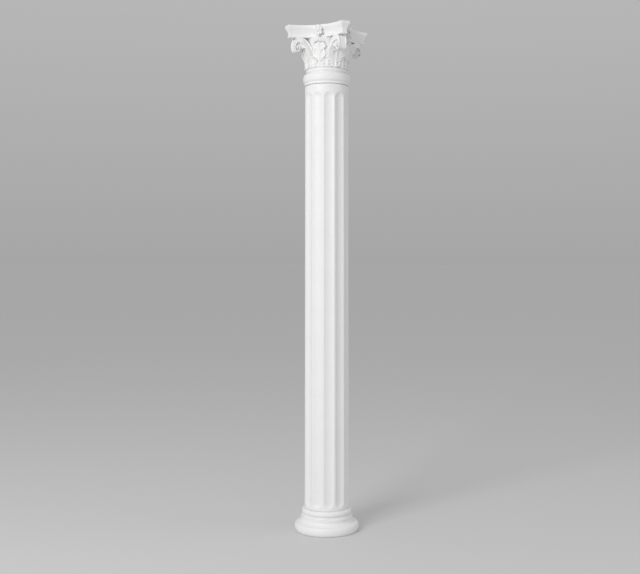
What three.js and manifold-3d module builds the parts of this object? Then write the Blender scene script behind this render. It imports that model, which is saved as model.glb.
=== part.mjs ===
// A round fluted column in three hollow moulded pieces that stand on each other: a base of
// turned mouldings, a tapering shaft with round-ended flutes, and a carved capital with leaves,
// corner volutes and a concave-sided abacus. Millimetres, +Z up. The origin is on the floor at
// the centre of the base, and the abacus has its four sides square to X and Y.
import * as THREE from "three";
import { mergeVertices } from "three/addons/utils/BufferGeometryUtils.js";
import Module from "manifold-3d";

const wasm = await Module();
wasm.setup();

// Sizes that the three pieces share
const BORE_RADIUS = 86; // the hollow that runs through all three
const GLUE_LINE = 0.3; // gap where one piece stands on another
const TURNED_SIDES = 28; // facets round a turned surface
const BORE_SIDES = 24;

// Shaft
const SHAFT_HEIGHT = 2100;
const SHAFT_FOOT_RADIUS = 111;
const SHAFT_TOP_RADIUS = 108.5;
const SHAFT_FOOT_ROUNDING = 3;
const SHAFT_TOP_ROUNDING = 9;
const SHAFT_TURN = 26; // degrees from -Y to the middle of a flute, towards +X
const FLUTE_COUNT = 12;
const FLUTE_DEPTH = 8;
const FLUTE_FILLET = 7; // flat left between two flutes, at the foot
const FLUTE_TIP = 2; // width of a flute where it runs out
const FLUTE_FOOT_MARGIN = 14; // plain band below the flutes
const FLUTE_TOP_MARGIN = 42; // plain collar above them

// Base, from the floor up. Radii are given as how far a member stands out beyond the seat.
const LOWER_TORUS_HEIGHT = 42;
const LOWER_TORUS_BULGE = 10;
const SCOTIA_HEIGHT = 24;
const SCOTIA_NECK_PROUD = 11;
const SCOTIA_SPREAD = 24; // how far the hollow runs out to the lower torus
const FILLET_HEIGHT = 10;
const FILLET_PROUD = 14;
const GROOVE_HEIGHT = 10;
const GROOVE_PROUD = 6;
const UPPER_TORUS_HEIGHT = 24;
const UPPER_TORUS_BULGE = 9;
const SEAT_HEIGHT = 3;
const SEAT_LEDGE = 4; // seat that shows round the foot of the shaft

// Capital: neck mouldings and bell, from the foot up
const CAPITAL_LEDGE = 2.5; // how far its foot stands out over the top of the shaft
const CAPITAL_FOOT_HEIGHT = 12;
const ASTRAGAL_HEIGHT = 40;
const ASTRAGAL_BULGE = 7;
const NECK_HEIGHT = 8;
const NECK_RECESS = 12; // neck behind the foot
const BEAD_HEIGHT = 20;
const BEAD_BULGE = 5;
const BELL_HEIGHT = 145;
const BELL_RECESS = 14; // foot of the bell behind the foot of the capital
const BELL_FLARE = 16; // lip of the bell beyond its foot

// Abacus
const ABACUS_HEIGHT = 59;
const ABACUS_OVERHANG = 4; // middle of a side beyond the lip of the bell
const ABACUS_HORN = 99; // cut corner beyond the middle of a side
const ABACUS_CUT = 45.5; // width of a cut corner
const ABACUS_TOP_FILLET = 12;
const ABACUS_FOOT_FILLET = 11;
const ABACUS_COVE = 13; // how far the cove under the top fillet goes in
const ABACUS_FOOT_PROUD = 3; // foot fillet in front of the cove
const ABACUS_SIDE_STEPS = 5;

// Volutes: a band leaves the bell as a broad stalk and rolls up into a scroll on the diagonal
const SCROLL_STANDOFF = 55; // eye beyond the lip of the bell
const SCROLL_DROP = 49; // eye below the abacus
const SCROLL_RADIUS = 29; // outer turn of the scroll, once it is clear of the abacus
const SCROLL_NARROWING = 0.6; // its width as a share of its height
const SCROLL_TURNS = 1.25;
const SCROLL_END_RADIUS = 9; // outer edge of the band where it reaches the eye
const EYE_RADIUS = 7.5;
const STALK_FOOT = 32; // above the foot of the bell
const STALK_STEEPNESS = 0.75; // share of its rise that the stalk makes close to the bell
const STALK_ROOT_LEAN = 0.16; // share of its reach that it gains meanwhile
const STALK_CREST_START = 0.36; // share of its reach where it levels out under the abacus
const STALK_BAND = 30; // width of the band on the stalk
const CREST_BAND = 24; // where it passes under the abacus
const SCROLL_BAND = 6.5; // in the first turn of the scroll
const BAND_TAPER = 0.3; // share of its width that the band loses along the scroll
const CREST_OVERLAP = 1; // how far the crest sinks into the abacus
const CREST_FADE = 1.5; // how fast the scroll draws in after the crest, for each radian
const STALK_FOOT_WIDTH = 112; // across the stalk where it leaves the bell
const STALK_NECK_WIDTH = 64; // across it where it is narrowest, and from there up
const STALK_NECK_DROP = 25; // height of that place below the abacus
const STALK_STAND = 12; // face of the stalk in front of the bell, where it is still round
const STALK_INSET = 7; // flank of the stalk behind the side of the abacus, at the top
const STALK_FLARE_HEIGHT = 40; // height over which the stalk leaves the round of the bell
const WEB_INSET = 12; // web between the turns behind the flank
const WEB_START = 0.4; // share of the stalk where the web begins
const WEB_TURNS = 0.68; // how far round the scroll the web reaches

// Leaves: they stand against the bell and roll out at the tip
const LEAF_LOBES = 4; // on each side of a leaf
const LEAF_NOTCH = 0.22; // depth of the cuts between lobes, as a share of the half width
const LEAF_ROOT_WIDTH = 0.72; // width at the root, as a share of the greatest
const LEAF_TIP_WIDTH = 0.4; // width at the tip, as a share of the greatest
const LEAF_RIB = 3; // middle rib above the face
const LEAF_HOLLOW = 2; // valley on each side of it
const LEAF_ROOT_THICKNESS = 27;
const LEAF_TIP_THICKNESS = 5;
const LEAF_BEND = 0.7; // share of the leaf's length below the roll
const LEAF_ROLL_TURN = 144; // degrees that the tip rolls through
const LOWER_LEAF_COUNT = 8;
const LOWER_LEAF_WIDTH = 70;
const LOWER_LEAF_HEIGHT = 48;
const LOWER_LEAF_STAND = 11; // its face in front of the bell, at its foot
const LOWER_LEAF_LEAN = 1; // how far the leaf leans out before it rolls
const LOWER_LEAF_ROLL = 6; // how far the tip rolls out
const CORNER_LEAF_WIDTH = 56;
const CORNER_LEAF_HEIGHT = 84;
const CORNER_LEAF_STAND = 14;
const CORNER_LEAF_LEAN = 16;
const CORNER_LEAF_ROLL = 9;
const SIDE_LEAF_WIDTH = 68;
const SIDE_LEAF_HEIGHT = 132;
const SIDE_LEAF_STAND = 9;
const SIDE_LEAF_LEAN = 2;
const SIDE_LEAF_ROLL = 17;

// Flower at the middle of each side of the abacus
const FLOWER_WIDTH = 46;
const FLOWER_HEIGHT = 56;
const FLOWER_PROUD = 16; // in front of the side of the abacus
const FLOWER_ROOT = 6; // behind its cove
const FLOWER_PETALS = 6;
const PETAL_CUT = 0.3; // depth of the cuts between petals, as a share of their reach

const FULL_TURN = 2 * Math.PI;
const QUARTER = Math.PI / 2;
const CORNER_COUNT = 4;
const PAINT = { color: 0xf1efef, roughness: 0.55, metalness: 0, flatShading: true };
const { lerp, clamp, smoothstep, degToRad } = THREE.MathUtils;

const seatRadius = SHAFT_FOOT_RADIUS + SEAT_LEDGE;
const seatFoot =
  LOWER_TORUS_HEIGHT + SCOTIA_HEIGHT + FILLET_HEIGHT + GROOVE_HEIGHT + UPPER_TORUS_HEIGHT;
const baseHeight = seatFoot + SEAT_HEIGHT;
const capitalFootRadius = SHAFT_TOP_RADIUS + CAPITAL_LEDGE;
const bellFootRadius = capitalFootRadius - BELL_RECESS;
const bellLipRadius = bellFootRadius + BELL_FLARE;
const bellFoot = CAPITAL_FOOT_HEIGHT + ASTRAGAL_HEIGHT + NECK_HEIGHT + BEAD_HEIGHT;
const abacusFoot = bellFoot + BELL_HEIGHT;
const abacusHalfWidth = bellLipRadius + ABACUS_OVERHANG;
const abacusTip = abacusHalfWidth + ABACUS_HORN;
const capitalHeight = abacusFoot + ABACUS_HEIGHT;
const eyeReach = bellLipRadius + SCROLL_STANDOFF;
const eyeHeight = abacusFoot - SCROLL_DROP;
const shaftBottom = baseHeight + GLUE_LINE;
const capitalBottom = shaftBottom + SHAFT_HEIGHT + GLUE_LINE;

// Shares from 0 to 1 in equal steps.
function steps(count) {
  return Array.from({ length: count + 1 }, (_, i) => i / count);
}

// Angles of equal parts of a turn.
function turns(count) {
  return steps(count).slice(1).map((share) => share * FULL_TURN);
}

// Turns a closed geometry into a solid that can be joined and cut.
function solid(geometry) {
  const bare = geometry.clone();
  bare.deleteAttribute("normal");
  bare.deleteAttribute("uv");
  const merged = mergeVertices(bare, 1e-3);
  const mesh = new wasm.Mesh({
    numProp: 3,
    vertProperties: merged.attributes.position.array,
    triVerts: new Uint32Array(merged.index.array),
  });
  return new wasm.Manifold(mesh);
}

function geometryOf(joined) {
  const mesh = joined.getMesh();
  const geometry = new THREE.BufferGeometry();
  geometry.setAttribute("position", new THREE.BufferAttribute(mesh.vertProperties, 3));
  geometry.setIndex(new THREE.BufferAttribute(mesh.triVerts, 1));
  return geometry;
}

// Revolves a profile of [radius, height] points about the Z axis.
function turned(profile) {
  const points = profile.map(([radius, height]) => new THREE.Vector2(radius, height));
  return new THREE.LatheGeometry(points, TURNED_SIDES).rotateX(QUARTER);
}

// A half-round moulding that stands out from a radius, as profile points.
function bulge(foot, height, radius, proud, count) {
  return steps(count).map((share) => {
    const angle = Math.PI * share;
    return [radius + proud * Math.sin(angle), foot + (height * (1 - Math.cos(angle))) / 2];
  });
}

// Skins a stack of rings that have the same number of points, and closes both ends.
function loft(rings) {
  const count = rings[0].length;
  const index = [];
  for (let first = 0; first < (rings.length - 1) * count; first += count)
    for (let i = 0; i < count; i++) {
      const a = first + i;
      const b = first + ((i + 1) % count);
      index.push(a, b, b + count, a, b + count, a + count);
    }
  const last = (rings.length - 1) * count;
  const cap = (ring) =>
    THREE.ShapeUtils.triangulateShape(ring.map(([x, y]) => new THREE.Vector2(x, y)), []);
  for (const [a, b, c] of cap(rings[0])) index.push(a, c, b);
  for (const [a, b, c] of cap(rings.at(-1))) index.push(last + a, last + b, last + c);
  const geometry = new THREE.BufferGeometry();
  geometry.setAttribute("position", new THREE.Float32BufferAttribute(rings.flat(2), 3));
  geometry.setIndex(index);
  return geometry;
}

// The through hollow as a cutter, a little longer than the piece that it is cut from.
function boreTool(height) {
  const spare = 1;
  const tool = new THREE.CylinderGeometry(BORE_RADIUS, BORE_RADIUS, height + 2 * spare, BORE_SIDES);
  return solid(tool.rotateX(QUARTER).translate(0, 0, height / 2));
}

function makeBase() {
  const filletFoot = LOWER_TORUS_HEIGHT + SCOTIA_HEIGHT;
  const grooveFoot = filletFoot + FILLET_HEIGHT;
  const upperTorusFoot = grooveFoot + GROOVE_HEIGHT;
  const scotiaFootRadius = seatRadius + SCOTIA_NECK_PROUD + SCOTIA_SPREAD;
  const scotia = steps(3).map((share) => [
    scotiaFootRadius - SCOTIA_SPREAD * Math.sin(share * QUARTER),
    LOWER_TORUS_HEIGHT + SCOTIA_HEIGHT * (1 - Math.cos(share * QUARTER)),
  ]);
  return turned([
    [BORE_RADIUS, 0],
    ...bulge(0, LOWER_TORUS_HEIGHT, scotiaFootRadius, LOWER_TORUS_BULGE, 6),
    ...scotia.slice(1),
    [seatRadius + FILLET_PROUD, filletFoot],
    [seatRadius + FILLET_PROUD, grooveFoot],
    [seatRadius + GROOVE_PROUD, grooveFoot],
    [seatRadius + GROOVE_PROUD, upperTorusFoot],
    ...bulge(upperTorusFoot, UPPER_TORUS_HEIGHT, seatRadius, UPPER_TORUS_BULGE, 4).slice(1),
    [seatRadius, baseHeight],
    [BORE_RADIUS, baseHeight],
    [BORE_RADIUS, 0],
  ]);
}

// Each flute is the path of a round-nosed cutter, so its width and its depth both run out in a
// half circle at its two ends.
const flutePitch = FULL_TURN / FLUTE_COUNT;
const fluteHalfWidth = SHAFT_FOOT_RADIUS * Math.sin(flutePitch / 2) - FLUTE_FILLET / 2;
const fluteCutter = (fluteHalfWidth ** 2 + FLUTE_DEPTH ** 2) / (2 * FLUTE_DEPTH);
const fluteFoot = FLUTE_FOOT_MARGIN + fluteHalfWidth;
const fluteTop = SHAFT_HEIGHT - FLUTE_TOP_MARGIN - fluteHalfWidth;

// One ring of the shaft: five points across each flute and one on the fillet beside it.
function shaftRing(height, rounding = 0) {
  const radius = lerp(SHAFT_FOOT_RADIUS, SHAFT_TOP_RADIUS, height / SHAFT_HEIGHT) - rounding;
  const beyond = Math.max(fluteFoot - height, height - fluteTop, 0);
  const plain = beyond > fluteHalfWidth + 0.01;
  const reach = Math.max(Math.sqrt(Math.max(fluteHalfWidth ** 2 - beyond ** 2, 0)), FLUTE_TIP / 2);
  const across = [-1, -0.5, 0, 0.5, 1];
  const depthAt = (offset) =>
    Math.max(Math.sqrt(fluteCutter ** 2 - offset ** 2 - beyond ** 2) - fluteCutter + FLUTE_DEPTH, 0);
  return turns(FLUTE_COUNT).flatMap((turn) => {
    const middle = turn + degToRad(SHAFT_TURN) - QUARTER;
    const columns = across.map((share) => {
      const spread = plain ? (share * flutePitch) / 3 : (share * reach) / radius;
      const depth = plain || Math.abs(share) === 1 ? 0 : depthAt(share * reach);
      return [middle + spread, radius - depth];
    });
    columns.push([middle + flutePitch / 2, radius]);
    return columns.map(([angle, r]) => [r * Math.cos(angle), r * Math.sin(angle), height]);
  });
}

function makeShaft() {
  const runOut = [1, 0.87, 0.5, 0].map((share) => share * fluteHalfWidth);
  const topRounding = steps(2).map((share) => {
    const angle = share * QUARTER;
    const height = SHAFT_HEIGHT - SHAFT_TOP_ROUNDING * (1 - Math.sin(angle));
    return shaftRing(height, SHAFT_TOP_ROUNDING * (1 - Math.cos(angle)));
  });
  const rings = [
    shaftRing(0, SHAFT_FOOT_ROUNDING),
    shaftRing(SHAFT_FOOT_ROUNDING),
    ...runOut.map((beyond) => shaftRing(fluteFoot - beyond)),
    ...runOut.toReversed().map((beyond) => shaftRing(fluteTop + beyond)),
    ...topRounding,
  ];
  return geometryOf(solid(loft(rings)).subtract(boreTool(SHAFT_HEIGHT)));
}

function bellRadius(height) {
  const rise = clamp((height - bellFoot) / BELL_HEIGHT, 0, 1);
  return lerp(bellFootRadius, bellLipRadius, rise ** 3);
}

// The neck mouldings and the bell, solid to the axis.
function makeBell() {
  const neckFoot = CAPITAL_FOOT_HEIGHT + ASTRAGAL_HEIGHT;
  const neckRadius = capitalFootRadius - NECK_RECESS;
  const sunk = 1; // into the abacus
  const bell = steps(3).map((share) => {
    const height = bellFoot + share * BELL_HEIGHT;
    return [bellRadius(height), height];
  });
  return solid(
    turned([
      [0, 0],
      [capitalFootRadius, 0],
      ...bulge(CAPITAL_FOOT_HEIGHT, ASTRAGAL_HEIGHT, capitalFootRadius, ASTRAGAL_BULGE, 4),
      [neckRadius, neckFoot],
      ...bulge(neckFoot + NECK_HEIGHT, BEAD_HEIGHT, neckRadius, BEAD_BULGE, 3),
      ...bell,
      [BORE_RADIUS, abacusFoot + sunk],
      [0, abacusFoot + sunk],
    ]),
  );
}

// Plan of the abacus, set in all round by an amount: four concave arcs between cut corners. An
// arc goes through the middle of its side and the near ends of the two cuts.
const arcHalf = (abacusTip - ABACUS_CUT / 2) / Math.SQRT2;
const arcRise = (abacusTip + ABACUS_CUT / 2) / Math.SQRT2 - abacusHalfWidth;
const hollowRadius = (arcHalf ** 2 + arcRise ** 2) / (2 * arcRise);
function abacusPlan(inset) {
  const centre = abacusHalfWidth + hollowRadius;
  const radius = hollowRadius + inset;
  const cut = (abacusTip - inset) * Math.SQRT2;
  const half = Math.PI / 4 + Math.asin((cut - centre) / (Math.SQRT2 * radius));
  return turns(CORNER_COUNT).flatMap((turn) =>
    steps(ABACUS_SIDE_STEPS).map((share) => {
      const angle = half * (2 * share - 1);
      const point = new THREE.Vector2(radius * Math.sin(angle), radius * Math.cos(angle) - centre);
      return point.rotateAround(new THREE.Vector2(), turn).toArray();
    }),
  );
}

function makeAbacus() {
  const coveFoot = abacusFoot + ABACUS_FOOT_FILLET;
  const coveTop = capitalHeight - ABACUS_TOP_FILLET;
  const cove = steps(3).map((share) => [
    lerp(coveFoot, coveTop, share),
    ABACUS_COVE * Math.cos(share * QUARTER),
  ]);
  const footInset = ABACUS_COVE - ABACUS_FOOT_PROUD;
  const levels = [[abacusFoot, footInset], [coveFoot, footInset], ...cove, [capitalHeight, 0]];
  return solid(loft(levels.map(([z, inset]) => abacusPlan(inset).map(([x, y]) => [x, y, z]))));
}

// The volute's band lies in the diagonal plane, where x is the distance from the axis. It rises
// from the bell as a stalk up to its crest under the abacus.
const crestRadius = SCROLL_DROP + CREST_OVERLAP - CREST_BAND / 2;
function stalkAt(share) {
  const foot = new THREE.Vector2(bellFootRadius, bellFoot + STALK_FOOT);
  const crest = new THREE.Vector2(eyeReach, eyeHeight + crestRadius);
  const rising = new THREE.Vector2(
    lerp(foot.x, crest.x, STALK_ROOT_LEAN),
    lerp(foot.y, crest.y, STALK_STEEPNESS),
  );
  const turning = new THREE.Vector2(lerp(foot.x, crest.x, STALK_CREST_START), crest.y);
  const { x, y } = new THREE.CubicBezierCurve(foot, rising, turning, crest).getPoint(share);
  return { x, y, half: lerp(STALK_BAND, CREST_BAND, share ** 2) / 2 };
}

// From the crest it rolls out, down and round to the eye.
function scrollAt(share) {
  const turn = share * SCROLL_TURNS * FULL_TURN;
  const crest = Math.exp(-CREST_FADE * turn);
  const half = (lerp(SCROLL_BAND, CREST_BAND, crest) * (1 - BAND_TAPER * share)) / 2;
  const drawnIn = (SCROLL_DROP + CREST_OVERLAP - SCROLL_RADIUS) * crest;
  const radius = lerp(SCROLL_RADIUS, SCROLL_END_RADIUS, share) + drawnIn - half;
  const x = eyeReach + radius * SCROLL_NARROWING * Math.sin(turn);
  return { x, y: eyeHeight + radius * Math.cos(turn), half };
}

// The outline of the band: up one edge from the stalk's foot to the eye, and back down the other.
function bandOutline() {
  const stalk = steps(5).slice(0, -1).map(stalkAt);
  const middle = [...stalk, ...steps(12).map(scrollAt)];
  const edge = (side) =>
    middle.map(({ x, y, half }, i) => {
      const before = middle[Math.max(i - 1, 0)];
      const after = middle[Math.min(i + 1, middle.length - 1)];
      const along = new THREE.Vector2(after.x - before.x, after.y - before.y).normalize();
      return [x - side * half * along.y, y + side * half * along.x];
    });
  return [...edge(-1), ...edge(1).reverse()];
}

// The web that fills the scroll and joins it to the upper stalk, bounded by the middle of the
// band.
function webOutline() {
  const scroll = steps(5).map((share) => scrollAt((share * WEB_TURNS) / SCROLL_TURNS));
  const stalk = steps(3).slice(0, -1).map((share) => stalkAt(lerp(WEB_START, 1, share)));
  return [...stalk, ...scroll].map(({ x, y }) => [x, y]).reverse();
}

function eyeOutline() {
  return turns(8).map((turn) => [
    eyeReach + EYE_RADIUS * SCROLL_NARROWING * Math.cos(turn),
    eyeHeight + EYE_RADIUS * Math.sin(turn),
  ]);
}

// Pushes an outline of the diagonal plane sideways both ways, and turns it to its corner.
function acrossCorner(outline, turn) {
  const shape = new THREE.Shape(outline.map(([x, y]) => new THREE.Vector2(x, y)));
  const depth = 2 * abacusHalfWidth;
  const slab = new THREE.ExtrudeGeometry(shape, { depth, bevelEnabled: false });
  return solid(slab.rotateX(QUARTER).translate(0, depth / 2, 0).rotateZ(turn + QUARTER / 2));
}

// The flanks of the volutes: round like the bell at their foot, and above that hollow like the
// sides of the abacus.
function flanks(inset) {
  const foot = bellFoot + STALK_FOOT;
  const sunk = 1; // into the abacus
  const flare = steps(2).map((share) => [foot + share * STALK_FLARE_HEIGHT, smoothstep(share, 0, 1)]);
  const levels = [[bellFoot, 0], ...flare, [abacusFoot + sunk, 1]];
  const rings = levels.map(([z, hollow]) =>
    abacusPlan(STALK_INSET + inset).map(([x, y]) => {
      const reach = Math.hypot(x, y);
      const round = bellRadius(z) + STALK_STAND - inset / 2;
      const share = lerp(round, reach, hollow) / reach;
      return [x * share, y * share, z];
    }),
  );
  return solid(loft(rings));
}

// The room that the taper of a stalk leaves across its corner, wide at the foot and narrow above.
function taper(inset, turn) {
  const foot = STALK_FOOT_WIDTH / 2 - inset;
  const neck = STALK_NECK_WIDTH / 2 - inset;
  const right = [
    [foot, bellFoot],
    [foot, bellFoot + STALK_FOOT],
    [neck, abacusFoot - STALK_NECK_DROP],
    [neck, capitalHeight],
  ];
  const left = right.map(([across, height]) => [-across, height]).reverse();
  const shape = new THREE.Shape([...right, ...left].map(([x, y]) => new THREE.Vector2(x, y)));
  const room = new THREE.ExtrudeGeometry(shape, { depth: abacusTip, bevelEnabled: false });
  return solid(room.rotateX(QUARTER).rotateZ(QUARTER + turn + QUARTER / 2));
}

function makeVolutes() {
  const bandFlanks = flanks(0);
  const webFlanks = flanks(WEB_INSET);
  return turns(CORNER_COUNT).flatMap((turn) => {
    const band = acrossCorner(bandOutline(), turn).add(acrossCorner(eyeOutline(), turn));
    const web = acrossCorner(webOutline(), turn);
    return [
      band.intersect(bandFlanks).intersect(taper(0, turn)),
      web.intersect(webFlanks).intersect(taper(WEB_INSET, turn)),
    ];
  });
}

// A leaf against the bell: rows along it, columns across its face, and a plain back inside the
// bell. The last rows lie on the round of the roll.
function leaf({ width, height, stand, lean, roll, rows }, turn) {
  const foot = bellFoot - 1;
  const rollRadius = roll / 2;
  const straight = height - rollRadius;
  const face = [
    { column: -1, relief: 0 },
    { column: -0.5, relief: -LEAF_HOLLOW },
    { column: 0, relief: LEAF_RIB },
    { column: 0.5, relief: -LEAF_HOLLOW },
    { column: 1, relief: 0 },
  ];
  const rings = rows.map((share) => {
    const rise = Math.min(share / LEAF_BEND, 1);
    const onRoll = Math.max((share - LEAF_BEND) / (1 - LEAF_BEND), 0);
    const angle = Math.PI - onRoll * degToRad(LEAF_ROLL_TURN);
    const z = foot + straight * rise;
    const front = bellRadius(z) + stand + lean * rise ** 3;
    const lobes = 1 - (LEAF_NOTCH * (1 + Math.cos(share * LEAF_LOBES * FULL_TURN))) / 2;
    const swell = lerp(LEAF_ROOT_WIDTH, 1, Math.sin(share * Math.PI));
    const half = (width / 2) * swell * lerp(1, LEAF_TIP_WIDTH, onRoll ** 2);
    const thickness = lerp(LEAF_ROOT_THICKNESS + lean * rise, LEAF_TIP_THICKNESS, share);
    const at = (column, relief) => {
      const reach = rollRadius + relief;
      const r = front + (onRoll > 0 ? rollRadius + reach * Math.cos(angle) : relief);
      const up = onRoll > 0 ? z + reach * Math.sin(angle) : z;
      const across = turn + (column * half * (Math.abs(column) === 1 ? lobes : 1)) / front;
      return [r * Math.cos(across), r * Math.sin(across), up];
    };
    return [...face.map(({ column, relief }) => at(column, relief)), at(1, -thickness), at(-1, -thickness)];
  });
  return solid(loft(rings));
}

function makeLeaves() {
  const lower = {
    width: LOWER_LEAF_WIDTH,
    height: LOWER_LEAF_HEIGHT,
    rows: [0, 0.25, 0.37, 0.5, 0.7, 1],
    stand: LOWER_LEAF_STAND,
    lean: LOWER_LEAF_LEAN,
    roll: LOWER_LEAF_ROLL,
  };
  const corner = {
    width: CORNER_LEAF_WIDTH,
    height: CORNER_LEAF_HEIGHT,
    rows: [0, 0.25, 0.5, 0.7, 0.85, 1],
    stand: CORNER_LEAF_STAND,
    lean: CORNER_LEAF_LEAN,
    roll: CORNER_LEAF_ROLL,
  };
  const side = {
    width: SIDE_LEAF_WIDTH,
    height: SIDE_LEAF_HEIGHT,
    rows: [0, 0.25, 0.37, 0.5, 0.62, 0.78, 1],
    stand: SIDE_LEAF_STAND,
    lean: SIDE_LEAF_LEAN,
    roll: SIDE_LEAF_ROLL,
  };
  return [
    ...turns(LOWER_LEAF_COUNT).map((turn) => leaf(lower, turn + Math.PI / LOWER_LEAF_COUNT)),
    ...turns(CORNER_COUNT).map((turn) => leaf(corner, turn + QUARTER / 2)),
    ...turns(CORNER_COUNT).map((turn) => leaf(side, turn)),
  ];
}

// A flower against the middle of a side of the abacus: rings from its back over the rim of its
// petals to the button, each with its depth and its size as shares.
function makeFlowers() {
  const back = abacusHalfWidth - ABACUS_COVE - FLOWER_ROOT;
  const front = abacusHalfWidth + FLOWER_PROUD;
  const form = [
    { depth: 0, size: 0.8, cut: PETAL_CUT },
    { depth: 0.72, size: 1, cut: PETAL_CUT },
    { depth: 0.66, size: 0.5, cut: 0 },
    { depth: 1, size: 0.24, cut: 0 },
  ];
  const rings = form.map(({ depth, size, cut }) =>
    turns(3 * FLOWER_PETALS).map((angle, i) => {
      const reach = (size / 2) * (i % 3 ? 1 : 1 - cut);
      const across = FLOWER_WIDTH * reach * Math.cos(angle);
      return [across, FLOWER_HEIGHT * reach * Math.sin(angle), lerp(back, front, depth)];
    }),
  );
  const flower = loft(rings).rotateX(QUARTER).translate(0, 0, abacusFoot + ABACUS_HEIGHT / 2);
  return turns(CORNER_COUNT).map((turn) => solid(flower.clone().rotateZ(turn)));
}

function makeCapital() {
  const carved = [makeAbacus(), ...makeVolutes(), ...makeLeaves(), ...makeFlowers()];
  const whole = carved.reduce((joined, piece) => joined.add(piece), makeBell());
  // A pocket that leaves and stalks close off between them is filled, so the piece is cast solid
  const filled = whole.decompose().find((body) => body.volume() > 0);
  return geometryOf(filled.subtract(boreTool(capitalHeight)));
}

// Smooth primed foam plastic, matt and nearly white
function placed(name, geometry, height) {
  const mesh = new THREE.Mesh(geometry, new THREE.MeshStandardMaterial(PAINT));
  mesh.name = name;
  mesh.position.z = height;
  return mesh;
}

const column = new THREE.Group();
column.add(placed("base", makeBase(), 0));
column.add(placed("shaft", makeShaft(), shaftBottom));
column.add(placed("capital", makeCapital(), capitalBottom));
export default column;
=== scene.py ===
"""A round fluted column in three hollow moulded pieces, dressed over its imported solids.

Each sub-assembly is a class that holds its sizes in metres, builds its meshes and dresses them.
The base, the shaft and the capital stand where their solids stand.
"""

import logging
import math
from dataclasses import dataclass
from enum import Enum

import bmesh
import bpy
from mathutils import Matrix, Vector


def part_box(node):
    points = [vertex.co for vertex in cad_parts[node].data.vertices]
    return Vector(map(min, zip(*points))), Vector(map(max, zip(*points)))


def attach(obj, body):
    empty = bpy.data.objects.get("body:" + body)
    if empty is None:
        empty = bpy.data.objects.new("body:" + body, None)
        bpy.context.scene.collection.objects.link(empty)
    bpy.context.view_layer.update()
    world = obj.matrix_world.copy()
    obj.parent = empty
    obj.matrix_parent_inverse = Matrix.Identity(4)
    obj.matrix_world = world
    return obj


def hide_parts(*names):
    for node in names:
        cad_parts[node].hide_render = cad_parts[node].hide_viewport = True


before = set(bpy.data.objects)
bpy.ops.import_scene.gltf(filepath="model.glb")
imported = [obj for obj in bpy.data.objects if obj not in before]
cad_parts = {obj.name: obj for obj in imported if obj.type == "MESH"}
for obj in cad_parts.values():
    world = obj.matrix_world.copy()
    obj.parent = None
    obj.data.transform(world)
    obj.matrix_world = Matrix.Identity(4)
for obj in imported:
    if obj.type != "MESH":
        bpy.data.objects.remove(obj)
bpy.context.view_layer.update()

LOG = logging.getLogger("column")
FULL_TURN = 2 * math.pi
QUARTER = math.pi / 2
EIGHTH = math.pi / 4
CORNERS = 4
BODY = "root"
MERGE_DISTANCE = 1e-6
SMOOTH_ANGLE = math.radians(32)
EDGE_SEGMENTS = 2

Point = tuple[float, float]
Ring = list[Vector]


class Node(Enum):
    """The solids that the pieces stand for."""

    BASE = "base"
    SHAFT = "shaft"
    CAPITAL = "capital"


def lerp(start: float, end: float, share: float) -> float:
    """Value at a share of the way from start to end."""
    return start + (end - start) * share


def smoothstep(share: float) -> float:
    """Eases a share from 0 to 1, level at both ends."""
    held = min(max(share, 0.0), 1.0)
    return held * held * (3 - 2 * held)


def steps(count: int) -> list[float]:
    """Shares from 0 to 1 in equal steps."""
    return [index / count for index in range(count + 1)]


def ridge(offset: float, width: float) -> float:
    """A smooth ridge of height 1 over offset 0, with the given half width."""
    return math.exp(-((offset / width) ** 2))


def polar(radius: float, angle: float, height: float) -> Vector:
    """A point at a radius and an angle from +X."""
    return Vector((radius * math.cos(angle), radius * math.sin(angle), height))


def hollow_ring(bore: float, ring: Ring) -> Ring:
    """The ring on a hollow's wall that lies beside a ring of the outside."""
    return [polar(bore, math.atan2(p.y, p.x), p.z) for p in ring]


def clear_selection() -> None:
    """Deselects everything, so that an operator acts only on what is added next."""
    bpy.ops.object.select_all(action="DESELECT")


def take(piece: bpy.types.Object) -> None:
    """Selects one piece alone and makes it active."""
    clear_selection()
    piece.select_set(True)
    bpy.context.view_layer.objects.active = piece


def set_ring(piece: bpy.types.Object, ring: Ring) -> None:
    """Sets the selected points of a piece in edit mode on the places of a ring.

    Args:
        piece: the piece, whose points carry their number in the ring.
        ring: the places, in the order of those numbers.
    """
    shape = bmesh.from_edit_mesh(piece.data)
    number = shape.verts.layers.int["number"]
    for point in shape.verts:
        if point.select:
            point.co = ring[point[number]]
    bmesh.update_edit_mesh(piece.data)


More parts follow.
